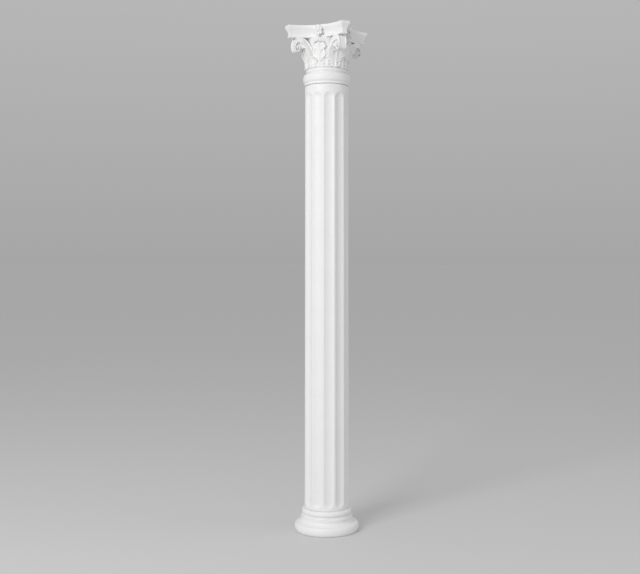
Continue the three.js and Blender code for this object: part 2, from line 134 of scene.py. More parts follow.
def draw_out(name: str, rings: list[Ring], joined: bool) -> bpy.types.Object:
    """Draws a skin out of a circle: each ring is extruded from the last and set on its places.

    Args:
        name: the piece's name.
        rings: rings of the same number of points, in order.
        joined: True joins the last ring to the first, False closes each end with a face.

    Returns:
        The piece, with its faces outwards and its place in its mesh.
    """
    clear_selection()
    bpy.ops.mesh.primitive_circle_add(vertices=len(rings[0]), radius=1)
    piece = bpy.context.object
    piece.name = name
    piece.data.name = name
    bpy.ops.object.mode_set(mode="EDIT")
    bpy.ops.mesh.select_mode(type="EDGE")
    bpy.ops.mesh.select_all(action="SELECT")
    shape = bmesh.from_edit_mesh(piece.data)
    number = shape.verts.layers.int.new("number")
    for index, point in enumerate(shape.verts):
        point[number] = index
    set_ring(piece, rings[0])
    for ring in rings[1:] + (rings[:1] if joined else []):
        bpy.ops.mesh.extrude_region_move()
        set_ring(piece, ring)
    bpy.ops.mesh.select_all(action="SELECT")
    bpy.ops.mesh.remove_doubles(threshold=MERGE_DISTANCE)
    if not joined:
        bpy.ops.mesh.fill_holes(sides=0)
    bpy.ops.mesh.select_all(action="SELECT")
    bpy.ops.mesh.normals_make_consistent(inside=False)
    bpy.ops.object.mode_set(mode="OBJECT")
    piece.data.attributes.remove(piece.data.attributes["number"])
    return piece


def copies_round(piece: bpy.types.Object, count: int) -> list[bpy.types.Object]:
    """Copies a piece round the column's axis, each copy with its own mesh.

    Args:
        piece: the first of them.
        count: how many there are with it.

    Returns:
        All of them, the first one included.
    """
    ring = [piece]
    for index in range(1, count):
        take(piece)
        bpy.ops.object.duplicate(linked=False)
        bpy.ops.transform.rotate(
            value=index * FULL_TURN / count,
            orient_axis="Z",
            center_override=(0, 0, 0),
        )
        bpy.ops.object.transform_apply(location=True, rotation=True, scale=True)
        ring.append(bpy.context.object)
    return ring


def join(name: str, parts: list[bpy.types.Object]) -> bpy.types.Object:
    """Joins parts that are cast in one.

    Args:
        name: the joined piece's name.
        parts: the parts, which are used up.

    Returns:
        The joined piece.
    """
    take(parts[0])
    for part in parts:
        part.select_set(True)
    bpy.ops.object.join()
    piece = bpy.context.object
    piece.name = name
    piece.data.name = name
    return piece


def round_edges(piece: bpy.types.Object, width: float, angle: float) -> None:
    """Rounds a piece's sharp edges with a bevel.

    Args:
        piece: the piece.
        width: the bevel's width.
        angle: edges that turn by more than this are rounded.
    """
    take(piece)
    bevel = piece.modifiers.new("edges", "BEVEL")
    bevel.width = width
    bevel.segments = EDGE_SEGMENTS
    bevel.limit_method = "ANGLE"
    bevel.angle_limit = angle
    bpy.ops.object.modifier_apply(modifier=bevel.name)


@dataclass(frozen=True)
class MouldedWhite:
    """Smooth primed white of hard moulded foam: near white, matt to satin, faintly uneven."""

    name: str = "moulded_white"
    slot: str = "white_plastic"
    pale: tuple[float, float, float] = (0.90, 0.895, 0.895)
    dull: tuple[float, float, float] = (0.882, 0.876, 0.875)
    dull_at: float = 0.3
    pale_at: float = 0.62
    satin: float = 0.40
    matt: float = 0.56
    satin_at: float = 0.3
    matt_at: float = 0.7
    refraction: float = 1.46
    cloud_scale: float = 9.0
    cloud_detail: float = 3.0
    wave_scale: float = 38.0
    wave_depth: float = 0.0004
    grain_scale: float = 420.0
    grain_depth: float = 0.00012
    relief_detail: float = 2.0

    def material(self) -> bpy.types.Material:
        """Makes the material from noise in Object coordinates.

        Returns:
            The material.
        """
        material = bpy.data.materials.new(self.name)
        material.use_nodes = True
        tree = material.node_tree
        shader = tree.nodes["Principled BSDF"]
        place = tree.nodes.new("ShaderNodeTexCoord")
        cloud = self._noise(tree, place, self.cloud_scale, self.cloud_detail)
        grain = self._noise(tree, place, self.grain_scale, self.relief_detail)
        wave = self._noise(tree, place, self.wave_scale, self.relief_detail)
        tint = tree.nodes.new("ShaderNodeValToRGB")
        tint.color_ramp.elements[0].position = self.dull_at
        tint.color_ramp.elements[0].color = (*self.dull, 1)
        tint.color_ramp.elements[1].position = self.pale_at
        tint.color_ramp.elements[1].color = (*self.pale, 1)
        tree.links.new(cloud.outputs["Fac"], tint.inputs["Fac"])
        tree.links.new(tint.outputs["Color"], shader.inputs["Base Color"])
        gloss = tree.nodes.new("ShaderNodeMapRange")
        gloss.inputs["From Min"].default_value = self.satin_at
        gloss.inputs["From Max"].default_value = self.matt_at
        gloss.inputs["To Min"].default_value = self.satin
        gloss.inputs["To Max"].default_value = self.matt
        tree.links.new(wave.outputs["Fac"], gloss.inputs["Value"])
        tree.links.new(gloss.outputs["Result"], shader.inputs["Roughness"])
        uneven = self._bump(tree, wave, self.wave_depth, None)
        speckled = self._bump(tree, grain, self.grain_depth, uneven)
        tree.links.new(speckled.outputs["Normal"], shader.inputs["Normal"])
        shader.inputs["IOR"].default_value = self.refraction
        return material

    @staticmethod
    def _noise(
        tree: bpy.types.NodeTree, place: bpy.types.Node, scale: float, detail: float
    ) -> bpy.types.Node:
        """Adds a noise texture on Object coordinates."""
        noise = tree.nodes.new("ShaderNodeTexNoise")
        noise.inputs["Scale"].default_value = scale
        noise.inputs["Detail"].default_value = detail
        tree.links.new(place.outputs["Object"], noise.inputs["Vector"])
        return noise

    @staticmethod
    def _bump(
        tree: bpy.types.NodeTree,
        height: bpy.types.Node,
        depth: float,
        under: bpy.types.Node | None,
    ) -> bpy.types.Node:
        """Adds a bump of a depth in metres over another one."""
        bump = tree.nodes.new("ShaderNodeBump")
        bump.inputs["Distance"].default_value = depth
        bump.inputs["Strength"].default_value = 1.0
        tree.links.new(height.outputs["Fac"], bump.inputs["Height"])
        if under:
            tree.links.new(under.outputs["Normal"], bump.inputs["Normal"])
        return bump

    def dress(self, piece: bpy.types.Object, node: Node) -> None:
        """Gives a piece this finish, smooth shading and its place in the frame.

        Args:
            piece: the piece.
            node: the solid that it stands for.
        """
        take(piece)
        bpy.ops.object.shade_smooth_by_angle(angle=SMOOTH_ANGLE)
        flat = piece.modifiers.new("flat_faces", "WEIGHTED_NORMAL")
        flat.keep_sharp = True
        bpy.ops.object.modifier_apply(modifier=flat.name)
        piece.data.materials.clear()
        piece.data.materials.append(bpy.data.materials.get(self.name) or self.material())
        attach(piece, BODY)
        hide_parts(node.value)
        LOG.info("%s: %d faces", piece.name, len(piece.data.polygons))


@dataclass(frozen=True)
class Turned:
    """A hollow turned piece, drawn out along a closed profile of radius and height."""

    name: str
    profile: list[Point]
    lift: float
    sides: int = 144
    edge: float = 0.0008
    most_of_side: float = 0.4
    sharp: float = math.radians(28)
    corner_steps: int = 3

    def softened(self) -> list[Point]:
        """Rounds the sharp corners of the profile.

        Returns:
            The profile with a short curve at each sharp corner.
        """
        soft: list[Point] = []
        for index, corner in enumerate(self.profile):
            here = Vector(corner)
            back = Vector(self.profile[index - 1]) - here
            ahead = Vector(self.profile[(index + 1) % len(self.profile)]) - here
            if math.pi - back.angle(ahead) < self.sharp:
                soft.append(corner)
                continue
            cut = min(self.edge, self.most_of_side * min(back.length, ahead.length))
            start = here + back.normalized() * cut
            end = here + ahead.normalized() * cut
            for share in steps(self.corner_steps):
                blended = start.lerp(here, share).lerp(here.lerp(end, share), share)
                soft.append((blended.x, blended.y))
        return soft

    def build(self) -> bpy.types.Object:
        """Draws the piece out ring by ring.

        Returns:
            The piece.
        """
        rings = [
            [
                polar(radius, FULL_TURN * index / self.sides, self.lift + height)
                for index in range(self.sides)
            ]
            for radius, height in self.softened()
        ]
        return draw_out(self.name, rings, joined=True)


def bulge(foot: float, height: float, radius: float, proud: float, count: int) -> list[Point]:
    """A half-round moulding as profile points.

    Args:
        foot: height of its lower edge.
        height: its height.
        radius: radius that it stands out from.
        proud: how far it stands out.
        count: steps over its round.

    Returns:
        The points from its lower edge to its upper edge.
    """
    return [
        (
            radius + proud * math.sin(math.pi * share),
            foot + height * (1 - math.cos(math.pi * share)) / 2,
        )
        for share in steps(count)
    ]


@dataclass(frozen=True)
class ColumnBase:
    """The turned foot: lower torus, hollow, fillet, groove, upper torus and seat."""

    bore: float = 0.086
    seat_radius: float = 0.115
    torus_height: float = 0.042
    torus_bulge: float = 0.010
    scotia_height: float = 0.024
    scotia_neck: float = 0.011
    scotia_spread: float = 0.024
    fillet_height: float = 0.010
    fillet_proud: float = 0.014
    groove_height: float = 0.010
    groove_proud: float = 0.006
    upper_height: float = 0.024
    upper_bulge: float = 0.009
    seat_height: float = 0.003
    torus_steps: int = 18
    scotia_steps: int = 12
    upper_steps: int = 14

    def profile(self) -> list[Point]:
        """The closed profile, from the hollow's foot outwards and up.

        Returns:
            Points of radius and height.
        """
        scotia_foot = self.seat_radius + self.scotia_neck + self.scotia_spread
        fillet_foot = self.torus_height + self.scotia_height
        fillet_radius = self.seat_radius + self.fillet_proud
        groove_foot = fillet_foot + self.fillet_height
        groove_radius = self.seat_radius + self.groove_proud
        upper_foot = groove_foot + self.groove_height
        seat_foot = upper_foot + self.upper_height
        top = seat_foot + self.seat_height
        scotia = [
            (
                scotia_foot - self.scotia_spread * math.sin(share * QUARTER),
                self.torus_height + self.scotia_height * (1 - math.cos(share * QUARTER)),
            )
            for share in steps(self.scotia_steps)
        ]
        upper = bulge(
            upper_foot, self.upper_height, self.seat_radius, self.upper_bulge, self.upper_steps
        )
        return [
            (self.bore, 0.0),
            *bulge(0.0, self.torus_height, scotia_foot, self.torus_bulge, self.torus_steps),
            *scotia[1:],
            (fillet_radius, fillet_foot),
            (fillet_radius, groove_foot),
            (groove_radius, groove_foot),
            (groove_radius, upper_foot),
            *upper[1:],
            (self.seat_radius, top),
            (self.bore, top),
        ]

    def build(self, finish: MouldedWhite) -> None:
        """Turns and dresses the base.

        Args:
            finish: its finish.
        """
        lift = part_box(Node.BASE.value)[0][2]
        finish.dress(Turned("column_base", self.profile(), lift).build(), Node.BASE)


@dataclass(frozen=True)
class FlutedShaft:
    """The tapering tube with round-ended flutes, a plain collar and a plain foot."""

    bore: float = 0.086
    height: float = 2.1
    foot_radius: float = 0.111
    top_radius: float = 0.1085
    foot_rounding: float = 0.003
    top_rounding: float = 0.009
    turn: float = 26.0
    flutes: int = 12
    depth: float = 0.008
    fillet: float = 0.007
    tip: float = 0.002
    foot_margin: float = 0.014
    top_margin: float = 0.042
    arris: float = 0.0004
    across: int = 16
    fillet_columns: int = 9
    body_rings: int = 8
    run_out_steps: int = 12
    foot_steps: int = 3
    top_steps: int = 6
    slack: float = 1.0001

    @property
    def pitch(self) -> float:
        """Angle from one flute to the next."""
        return FULL_TURN / self.flutes

    @property
    def half_width(self) -> float:
        """Half the width of a flute."""
        return self.foot_radius * math.sin(self.pitch / 2) - self.fillet / 2

    @property
    def flute_foot(self) -> float:
        """Height where the straight part of a flute starts."""
        return self.foot_margin + self.half_width

    @property
    def flute_top(self) -> float:
        """Height where the straight part of a flute ends."""
        return self.height - self.top_margin - self.half_width

    @property
    def cutter(self) -> float:
        """Radius of the round-nosed cutter that would sink the flutes."""
        return (self.half_width**2 + self.depth**2) / (2 * self.depth)

    def depth_at(self, offset: float, beyond: float) -> float:
        """How deep the cutter goes.

        Args:
            offset: distance from the flute's middle line.
            beyond: distance past the straight part of the flute.

        Returns:
            The depth, never under 0.
        """
        inside = self.cutter**2 - offset**2 - beyond**2
        return max(math.sqrt(max(inside, 0.0)) - self.cutter + self.depth, 0.0)

    def ring(self, height: float, rounding: float = 0.0) -> Ring:
        """One ring of the shaft's outside.

        Args:
            height: above the shaft's foot.
            rounding: how far an end's rounding draws it in.

        Returns:
            Columns across each flute and over the fillet beside it.
        """
        radius = lerp(self.foot_radius, self.top_radius, height / self.height) - rounding
        beyond = max(self.flute_foot - height, height - self.flute_top, 0.0)
        plain = beyond > self.half_width * self.slack
        reach = max(math.sqrt(max(self.half_width**2 - beyond**2, 0.0)), self.tip / 2)
        points: Ring = []
        for flute in range(self.flutes):
            middle = (flute + 1) * self.pitch + math.radians(self.turn) - QUARTER
            wide = reach / radius
            for share in steps(self.across):
                offset = math.sin((2 * share - 1) * QUARTER)
                sunk = 0.0 if plain else self.depth_at(offset * reach, beyond)
                if not plain and share in (0.0, 1.0):
                    sunk = self.arris
                points.append(polar(radius - sunk, middle + offset * wide, height))
            for column in range(1, self.fillet_columns + 1):
                share = smoothstep(column / (self.fillet_columns + 1))
                angle = lerp(middle + wide, middle + self.pitch - wide, share)
                points.append(polar(radius, angle, height))
        return points

    def rings(self) -> list[Ring]:
        """The rings of the outside, from the foot up, and those of the hollow."""
        foot = self.flute_foot
        top = self.flute_top
        shares = steps(self.run_out_steps)
        run_out = [math.cos(share * QUARTER) * self.half_width for share in shares]
        foot_end = [
            self.ring(
                self.foot_rounding * (1 - math.cos(share * QUARTER)),
                self.foot_rounding * (1 - math.sin(share * QUARTER)),
            )
            for share in steps(self.foot_steps)
        ]
        top_end = [
            self.ring(
                self.height - self.top_rounding * (1 - math.sin(share * QUARTER)),
                self.top_rounding * (1 - math.cos(share * QUARTER)),
            )
            for share in steps(self.top_steps)
        ]
        outside = [
            *foot_end,
            self.ring(self.foot_margin - self.tip),
            *[self.ring(foot - beyond) for beyond in run_out],
            *[self.ring(lerp(foot, top, share)) for share in steps(self.body_rings)[1:-1]],
            *[self.ring(top + beyond) for beyond in reversed(run_out)],
            self.ring(self.height - self.top_margin + self.tip),
            *top_end,
        ]
        return [hollow_ring(self.bore, outside[0]), *outside, hollow_ring(self.bore, outside[-1])]

    def build(self, finish: MouldedWhite) -> None:
        """Draws out and dresses the shaft.

        Args:
            finish: its finish.
        """
        lift = Vector((0, 0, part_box(Node.SHAFT.value)[0][2]))
        rings = [[point + lift for point in ring] for ring in self.rings()]
        finish.dress(draw_out("fluted_shaft", rings, joined=True), Node.SHAFT)


@dataclass(frozen=True)
class CapitalFrame:
    """Heights, radii and plan that the capital's parts share, from its own foot up."""

    lift: float
    bore: float = 0.086
    foot_radius: float = 0.111
    bell_foot: float = 0.080
    bell_height: float = 0.145
    bell_recess: float = 0.014
    bell_flare: float = 0.016
    abacus_height: float = 0.059
    abacus_half: float = 0.117
    abacus_horn: float = 0.099
    abacus_cut: float = 0.0455
    stalk_foot: float = 0.032
    stalk_stand: float = 0.012
    stalk_inset: float = 0.007
    stalk_flare: float = 0.040
    stalk_foot_width: float = 0.112
    stalk_neck_width: float = 0.064
    stalk_neck_drop: float = 0.025
    side_steps: int = 24
    within_nose: float = 0.999
    halvings: int = 26

    @property
    def abacus_foot(self) -> float:
        """Height of the underside of the abacus."""
        return self.bell_foot + self.bell_height

    @property
    def hollow_radius(self) -> float:
        """Radius of a concave side, through its middle and the near ends of the two cuts."""
        tip = self.abacus_half + self.abacus_horn
        half = (tip - self.abacus_cut / 2) / math.sqrt(2)
        rise = (tip + self.abacus_cut / 2) / math.sqrt(2) - self.abacus_half
        return (half**2 + rise**2) / (2 * rise)

    @property
    def height(self) -> float:
        """Height of the whole capital."""
        return self.abacus_foot + self.abacus_height

    def bell_radius(self, height: float) -> float:
        """Radius of the bell at a height."""
        rise = min(max((height - self.bell_foot) / self.bell_height, 0.0), 1.0)
        foot = self.foot_radius - self.bell_recess
        return lerp(foot, foot + self.bell_flare, rise**3)

    def plan(self, inset: float) -> list[Vector]:
        """Plan of the abacus: four concave arcs between cut corners.

        Args:
            inset: how far it is set in all round.

        Returns:
            Points from the first side's start right round.
        """
        centre = self.abacus_half + self.hollow_radius
        radius = self.hollow_radius + inset
        cut = (self.abacus_half + self.abacus_horn - inset) * math.sqrt(2)
        half = EIGHTH + math.asin((cut - centre) / (math.sqrt(2) * radius))
        points = []
        for side in range(1, CORNERS + 1):
            turn = Matrix.Rotation(side * QUARTER, 2)
            for share in steps(self.side_steps):
                angle = half * (2 * share - 1)
                point = Vector((radius * math.sin(angle), radius * math.cos(angle) - centre))
                points.append(turn @ point)
        return points

    def side_radius(self, off_corner: float, inset: float) -> float:
        """Distance from the axis to a concave side.

        Args:
            off_corner: angle away from the diagonal.
            inset: how far the side is set in.

        Returns:
            The distance in that direction.
        """
        centre = self.abacus_half + self.hollow_radius
        radius = self.hollow_radius + inset
        off_side = EIGHTH - off_corner
        along = centre * math.cos(off_side)
        short = centre * math.sin(off_side)
        return along - math.sqrt(max(radius**2 - short**2, 0.0))

    def flank_radius(self, off_corner: float, height: float, inset: float) -> float:
        """Distance from the axis to the flank of a volute, round at its foot and hollow above.

        Args:
            off_corner: angle away from the diagonal.
            height: height in the capital.
            inset: how far the flank is set in.

        Returns:
            The distance in that direction.
        """
        rise = (height - self.bell_foot - self.stalk_foot) / self.stalk_flare
        round_part = self.bell_radius(height) + self.stalk_stand - inset / 2
        hollow_part = self.side_radius(off_corner, self.stalk_inset + inset)
        return lerp(round_part, hollow_part, smoothstep(rise))

    def taper(self, height: float, inset: float) -> float:
        """Half the width that the taper of a stalk leaves at a height."""
        foot = self.bell_foot + self.stalk_foot
        rise = (height - foot) / (self.abacus_foot - self.stalk_neck_drop - foot)
        share = min(max(rise, 0.0), 1.0)
        return lerp(self.stalk_foot_width, self.stalk_neck_width, share) / 2 - inset

    def flank_width(self, reach: float, height: float, inset: float) -> Point:
        """Half the width of a volute between its flanks.

        Args:
            reach: distance from the axis along the diagonal.
            height: height in the capital.
            inset: how far the flanks are set in.

        Returns:
            The reach, held inside the flank's nose, and half the width there.
        """
        nose = self.flank_radius(0.0, height, inset) * self.within_nose
        held = min(reach, nose)
        low = 0.0
        high = EIGHTH
        for _ in range(self.halvings):
            middle = (low + high) / 2
            if self.flank_radius(middle, height, inset) * math.cos(middle) > held:
                low = middle
            else:
                high = middle
        return held, min(held * math.tan(low), self.taper(height, inset))


@dataclass(frozen=True)
class Bell:
    """The neck mouldings and the bell behind the carving."""

    capital: CapitalFrame
    foot_height: float = 0.012
    astragal_height: float = 0.040
    astragal_bulge: float = 0.007
    neck_height: float = 0.008
    neck_recess: float = 0.012
    bead_height: float = 0.020
    bead_bulge: float = 0.005
    astragal_steps: int = 16
    bead_steps: int = 12
    bell_steps: int = 16

    def build(self) -> bpy.types.Object:
        """Turns the bell.

        Returns:
            The piece.
        """
        capital = self.capital
        neck_foot = self.foot_height + self.astragal_height
        neck_radius = capital.foot_radius - self.neck_recess
        bead_foot = neck_foot + self.neck_height
        shares = steps(self.bell_steps)
        bell = [capital.bell_foot + share * capital.bell_height for share in shares]
        profile = [
            (capital.bore, 0.0),
            (capital.foot_radius, 0.0),
            *bulge(
                self.foot_height,
                self.astragal_height,
                capital.foot_radius,
                self.astragal_bulge,
                self.astragal_steps,
            ),
            (neck_radius, neck_foot),
            *bulge(bead_foot, self.bead_height, neck_radius, self.bead_bulge, self.bead_steps),
            *[(capital.bell_radius(height), height) for height in bell],
            (capital.bore, capital.abacus_foot),
        ]
        return Turned("capital_bell", profile, capital.lift).build()


@dataclass(frozen=True)
class Abacus:
    """The four-sided top slab with concave sides, cut corners and a cove under its edge."""

    capital: CapitalFrame
    top_fillet: float = 0.012
    foot_fillet: float = 0.011
    cove: float = 0.013
    foot_proud: float = 0.003
    cove_steps: int = 10
    edge: float = 0.0007
    edge_angle: float = math.radians(35)

    def levels(self) -> list[Point]:
        """Height and inset of each ring, from the foot up."""
        capital = self.capital
        cove_foot = capital.abacus_foot + self.foot_fillet
        cove_top = capital.height - self.top_fillet
        foot_inset = self.cove - self.foot_proud
        cove = [
            (lerp(cove_foot, cove_top, share), self.cove * math.cos(share * QUARTER))
            for share in steps(self.cove_steps)
        ]
        return [
            (capital.abacus_foot, foot_inset),
            (cove_foot, foot_inset),
            *cove,
            (capital.height, 0.0),
        ]

    def build(self) -> bpy.types.Object:
        """Draws out the abacus round its hollow.

        Returns:
            The piece.
        """
        capital = self.capital
        outside = [
            [Vector((p.x, p.y, capital.lift + height)) for p in capital.plan(inset)]
            for height, inset in self.levels()
        ]
        hollow_foot = hollow_ring(capital.bore, outside[0])
        hollow_top = hollow_ring(capital.bore, outside[-1])
        piece = draw_out("capital_abacus", [hollow_foot, *outside, hollow_top], joined=True)
        round_edges(piece, self.edge, self.edge_angle)
        return piece


@dataclass(frozen=True)
class Sample:
    """A place on the middle line of a volute's band: reach, height and half its width."""

    reach: float
    height: float
    half: float


@dataclass(frozen=True)
class Volute:
    """A band that leaves the bell as a broad stalk and rolls up into a scroll on the diagonal."""

    capital: CapitalFrame
    standoff: float = 0.055
    drop: float = 0.049
    radius: float = 0.029
    narrowing: float = 0.6
    turns: float = 1.25
    end_radius: float = 0.009
    eye_radius: float = 0.0075
    eye_proud: float = 0.0025
    eye_depth: float = 1.6
    eye_flat: float = 0.02
    eye_steps: int = 6
    eye_sides: int = 32
    stalk_lean: float = 0.16
    stalk_rise: float = 0.75
    crest_start: float = 0.36
    stalk_band: float = 0.030
    crest_band: float = 0.024
    scroll_band: float = 0.0065
    taper: float = 0.3
    overlap: float = 0.001
    fade: float = 1.5
    stalk_steps: int = 26
    scroll_steps: int = 84
    web_inset: float = 0.012
    web_start: float = 0.4
    web_turning: float = 0.6
    web_turns: float = 0.68
    web_edge: float = 0.001
    web_stalk_steps: int = 18
    web_scroll_steps: int = 40
    web_steps: int = 7
    edge: float = 0.0009
    edge_share: float = 0.93
    lip: float = 0.0022
    lip_share: float = 0.62
    hollow_share: float = 0.42
    channel: float = 0.0028
    channel_rim: float = 0.9
    channel_share: float = 0.72
    channel_band: float = 0.006

    @property
    def eye(self) -> Point:
        """Reach and height of the eye."""
        capital = self.capital
        lip = capital.foot_radius - capital.bell_recess + capital.bell_flare
        return lip + self.standoff, capital.abacus_foot - self.drop

    def stalk(self, share: float) -> Sample:
        """A place on the stalk, from its foot on the bell to the crest under the abacus."""
        reach, height = self.eye
        capital = self.capital
        foot_radius = capital.foot_radius - capital.bell_recess
        foot = Vector((foot_radius, capital.bell_foot + capital.stalk_foot))
        crest = Vector((reach, height + self.drop + self.overlap - self.crest_band / 2))
        lean = lerp(foot.x, crest.x, self.stalk_lean)
        rising = Vector((lean, lerp(foot.y, crest.y, self.stalk_rise)))
        turning = Vector((lerp(foot.x, crest.x, self.crest_start), crest.y))
        back = 1 - share
        place = (
            foot * back**3
            + rising * 3 * back**2 * share
            + turning * 3 * back * share**2
            + crest * share**3
        )
        return Sample(place.x, place.y, lerp(self.stalk_band, self.crest_band, share**2) / 2)

    def scroll(self, share: float) -> Sample:
        """A place on the scroll, from the crest out, down and round to the eye."""
        reach, height = self.eye
        turn = share * self.turns * FULL_TURN
        crest = math.exp(-self.fade * turn)
        half = lerp(self.scroll_band, self.crest_band, crest) * (1 - self.taper * share) / 2
        drawn_in = (self.drop + self.overlap - self.radius) * crest
        radius = lerp(self.radius, self.end_radius, share) + drawn_in - half
        across = radius * self.narrowing * math.sin(turn)
        return Sample(reach + across, height + radius * math.cos(turn), half)

    def _section(self, middle: Sample, along: Vector) -> list[Vector]:
        """One section across the band: hollow front, lipped flanks and a plain back.

        Args:
            middle: the place on the middle line.
            along: direction of the band there, in the diagonal plane.

        Returns:
            Points of reach, sideways distance and height, right round the section.
        """
        # Places across the band's thickness, 1 on its outer and -1 on its inner face, and how
        # far each is sunk: the flank has a hollow between two lips, the front has a channel
        outer_half = [
            (1.0, self.edge),
            (self.edge_share, 0.0),
            (self.lip_share, 0.0),
            (self.hollow_share, self.lip),
        ]
        inner_half = [(-across, sunk) for across, sunk in reversed(outer_half)]
        rim = self.channel_rim
        bed = self.channel_share
        channel = self.channel * min(middle.half / self.channel_band, 1.0)
        front = [(-rim, 0.0), (-bed, channel), (0.0, channel), (bed, channel), (rim, 0.0)]
        normal = Vector((-along.y, along.x))
        right = []
        for across, sunk in [*outer_half, (0.0, self.lip), *inner_half]:
            place = Vector((middle.reach, middle.height)) + normal * (across * middle.half)
            reach, width = self.capital.flank_width(place.x, place.y, 0.0)
            right.append(Vector((reach, max(width - sunk, 0.0), place.y)))
        nose = right[0]
        outer = []
        for across, sunk in front:
            inward = normal * -sunk
            outer.append(Vector((nose.x + inward.x, nose.y * across, nose.z + inward.y)))
        tail = right[-1]
        inner = [Vector((tail.x, tail.y * across, tail.z)) for across in (0.5, 0.0, -0.5)]
        left = [Vector((p.x, -p.y, p.z)) for p in reversed(right)]
        return [*outer, *right, *inner, *left]

    def _place(self, point: Vector) -> Vector:
        """Turns a point of the diagonal plane to the first corner and lifts it."""
        corner = Matrix.Rotation(EIGHTH, 3, "Z")
        return corner @ Vector((point.x, point.y, point.z + self.capital.lift))

    def band(self) -> bpy.types.Object:
        """Draws out the band from the stalk's foot to the eye.

        Returns:
            The piece.
        """
        line = [self.stalk(share) for share in steps(self.stalk_steps)[:-1]]
        line += [self.scroll(share) for share in steps(self.scroll_steps)]
        rings = []
        for index, middle in enumerate(line):
            before = line[max(index - 1, 0)]
            after = line[min(index + 1, len(line) - 1)]
            along = Vector((after.reach - before.reach, after.height - before.height))
            section = self._section(middle, along.normalized())
            rings.append([self._place(point) for point in section])
        return draw_out("volute_band", rings, joined=False)

    def web(self) -> bpy.types.Object:
        """Draws out the web that fills the scroll and joins it to the stalk.

        Returns:
            The piece.
        """
        foot = self.stalk(self.web_start)
        last = self.scroll(self.web_turns / self.turns)
        eye = Vector(self.eye)
        start = Vector((foot.reach, foot.height))
        turning = Vector((last.reach, last.height))
        rings = []
        for share in steps(self.web_stalk_steps):
            middle = self.stalk(lerp(self.web_start, 1.0, share))
            if share < self.web_turning:
                inner = start.lerp(turning, share / self.web_turning)
            else:
                inner = turning.lerp(eye, (share - self.web_turning) / (1 - self.web_turning))
            rings.append(self._web_ring(Vector((middle.reach, middle.height)), inner))
        for share in steps(self.web_scroll_steps)[1:]:
            middle = self.scroll(share * self.web_turns / self.turns)
            rings.append(self._web_ring(Vector((middle.reach, middle.height)), eye))
        return draw_out("volute_web", rings, joined=False)

    def _web_ring(self, outer: Vector, inner: Vector) -> Ring:
        """One strip of the web, over both its faces."""
        right = []
        for share in steps(self.web_steps):
            place = outer.lerp(inner, share)
            reach, width = self.capital.flank_width(place.x, place.y, self.web_inset)
            right.append(Vector((reach, max(width, self.web_edge), place.y)))
        left = [Vector((p.x, -p.y, p.z)) for p in reversed(right)]
        return [self._place(point) for point in [*right, *left]]

    def eye_button(self) -> bpy.types.Object:
        """Draws out the eye, which runs through the scroll and stands out as a button.

        Returns:
            The piece.
        """
        reach, height = self.eye
        top = self.capital.flank_width(reach, height, 0.0)[1] + self.eye_proud
        depth = self.eye_depth * self.eye_proud
        side = [
            (
                top - depth * (1 - math.cos(share * QUARTER)),
                max(math.sin(share * QUARTER), self.eye_flat),
            )
            for share in steps(self.eye_steps)
        ]
        across = [*side, *[(-sideways, size) for sideways, size in reversed(side)]]
        rings = []
        for sideways, size in across:
            ring = []
            for index in range(self.eye_sides):
                angle = FULL_TURN * index / self.eye_sides
                out = self.eye_radius * size * self.narrowing * math.cos(angle)
                up = self.eye_radius * size * math.sin(angle)
                ring.append(self._place(Vector((reach + out, sideways, height + up))))
            rings.append(ring)
        return draw_out("volute_eye", rings, joined=False)

    def build(self) -> bpy.types.Object:
        """Makes one volute and copies it to the other corners.

        Returns:
            The four volutes as one piece.
        """
        volute = join("capital_volutes", [self.band(), self.web(), self.eye_button()])
        return join("capital_volutes", copies_round(volute, CORNERS))


@dataclass(frozen=True)
class LeafCarving:
    """The relief on a leaf: its rib, creases between the lobes, drilled eyes, veins and a flare.

    Depths are in metres. Lengths along the leaf are shares of a lobe, those across it are shares
    of half the leaf.
    """

    lobes: int = 4
    leaflets: int = 3
    sweep: float = 0.13
    rib: float = 0.0024
    rib_width: float = 0.15
    rib_fade: float = 0.4
    groove: float = 0.00048
    groove_place: float = 0.3
    groove_width: float = 0.1
    crease: float = 0.0034
    crease_length: float = 0.15
    crease_start: float = 0.12
    crease_rise: float = 0.3
    eye: float = 0.0044
    eye_length: float = 0.17
    eye_place: float = 0.62
    eye_width: float = 0.15
    vein: float = 0.0012
    vein_length: float = 0.12
    vein_rise: float = 0.5
    leaflet: float = 0.00072
    leaflet_start: float = 0.5
    leaflet_rise: float = 0.4
    flare: float = 0.0030
    flare_rise: float = 0.3

    def height(self, share: float, across: float) -> float:
        """Height of the relief over the leaf's face.

        Args:
            share: share of the leaf's length.
            across: from -1 on one edge to 1 on the other.

        Returns:
            The height, below 0 in the creases.
        """
        off = abs(across)
        along = (share + self.sweep * (1 - off)) * self.lobes
        within = along % 1.0
        to_crease = along - round(along)
        rib = self.rib * ridge(off, self.rib_width) * (1 - self.rib_fade * share)
        groove = self.groove * ridge(off - self.groove_place, self.groove_width)
        crease = self.crease * ridge(to_crease, self.crease_length)
        crease *= smoothstep((off - self.crease_start) / self.crease_rise)
        eye = self.eye * ridge(to_crease, self.eye_length)
        eye *= ridge(off - self.eye_place, self.eye_width)
        vein = self.vein * ridge(within - 0.5, self.vein_length)
        vein *= smoothstep(off / self.vein_rise)
        leaflet = self.leaflet * (1 + math.cos(within * self.leaflets * FULL_TURN)) / 2
        leaflet *= smoothstep((off - self.leaflet_start) / self.leaflet_rise)
        flare = self.flare * off**3 * smoothstep(share / self.flare_rise)
        return rib - groove - crease - eye - vein - leaflet + flare


